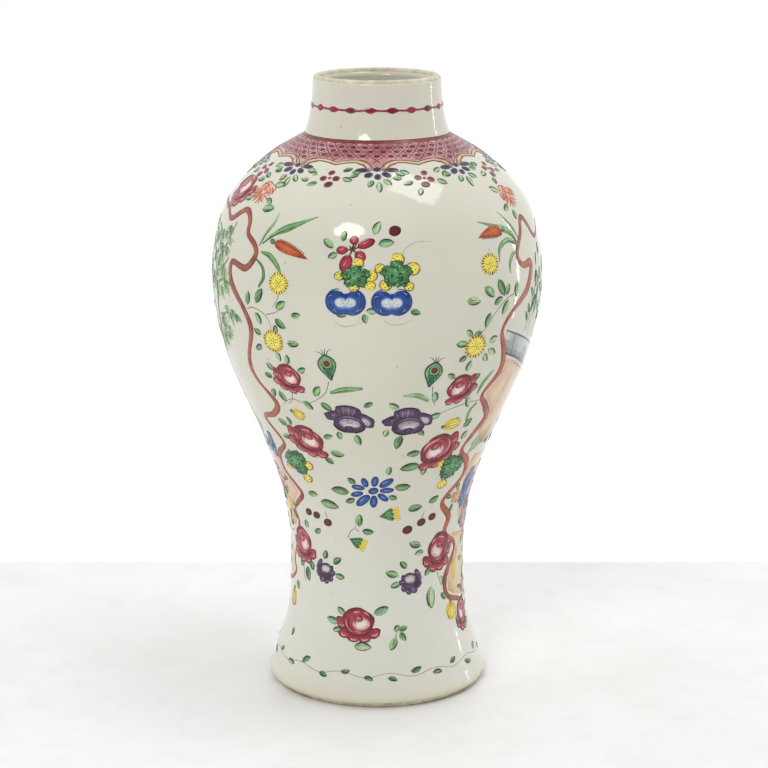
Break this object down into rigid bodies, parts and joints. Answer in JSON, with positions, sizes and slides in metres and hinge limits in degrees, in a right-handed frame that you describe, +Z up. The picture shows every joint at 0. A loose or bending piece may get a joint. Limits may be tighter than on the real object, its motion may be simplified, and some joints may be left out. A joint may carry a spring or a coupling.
{
  "type": "porcelain vase",
  "caption": "Baluster vase in white porcelain: short open neck, swelling shoulder, spread foot, painted with flower sprays, framed side panels and a trellis collar.",
  "frame": {"origin": "centre of the foot, on the surface the vase stands on", "axes": "+Z up along the axis of the vase, -Y towards the front flower reserve, +X and -X through the middles of the two framed panels"},
  "size_m": [0.1326, 0.1332, 0.25],
  "materials": {
    "biscuit": "bare fired porcelain clay, matt and a little gritty",
    "porcelain_body": "fired white porcelain clay",
    "slip": "dried and fired joining slip",
    "clear_glaze": "glossy greyish-white feldspar glaze",
    "rose_enamel": "glossy opaque rose and crimson enamel",
    "purple_enamel": "glossy aubergine enamel",
    "blue_enamel": "glossy translucent blue enamel",
    "yellow_enamel": "glossy opaque yellow enamel",
    "green_enamel": "glossy translucent green enamels with dark drawing",
    "iron_red_enamel": "thin half-matt iron-red drawing",
    "orange_enamel": "glossy orange enamel",
    "maroon_enamel": "glossy dark red enamel",
    "trellis_pink_enamel": "rose ground with a fine dark trellis",
    "grey_enamel": "thin grey wash",
    "peach_enamel": "thin peach wash"
  },
  "bodies": {
    "root": {"foot_ring": "biscuit", "base_disc": "porcelain_body", "lower_body": "porcelain_body", "upper_body": "porcelain_body", "neck": "biscuit", "foot_slip_joint": "slip", "belly_slip_joint": "slip", "neck_slip_joint": "slip", "outer_glaze": "clear_glaze", "inner_glaze": "clear_glaze", "base_glaze": "clear_glaze", "neck_bead_line": "rose_enamel", "neck_cord_line": "iron_red_enamel", "shoulder_trellis_band": "trellis_pink_enamel", "shoulder_edge_line": "iron_red_enamel", "shoulder_daisies": "purple_enamel", "shoulder_rosettes": "maroon_enamel", "shoulder_leaves": "green_enamel", "panel_frame_right": "iron_red_enamel", "panel_frame_left": "iron_red_enamel", "panel_ground": "peach_enamel", "panel_terrace_wall": "grey_enamel", "panel_trees": "green_enamel", "rose_blossoms": "rose_enamel", "purple_blossoms": "purple_enamel", "blue_fruits": "blue_enamel", "blue_blossoms": "blue_enamel", "yellow_blossoms": "yellow_enamel", "green_clusters": "green_enamel", "green_leaves": "green_enamel", "orange_pods": "orange_enamel", "red_berries": "maroon_enamel", "foot_garland_stem": "green_enamel", "foot_garland_leaves": "green_enamel"}
  },
  "joints": []
}
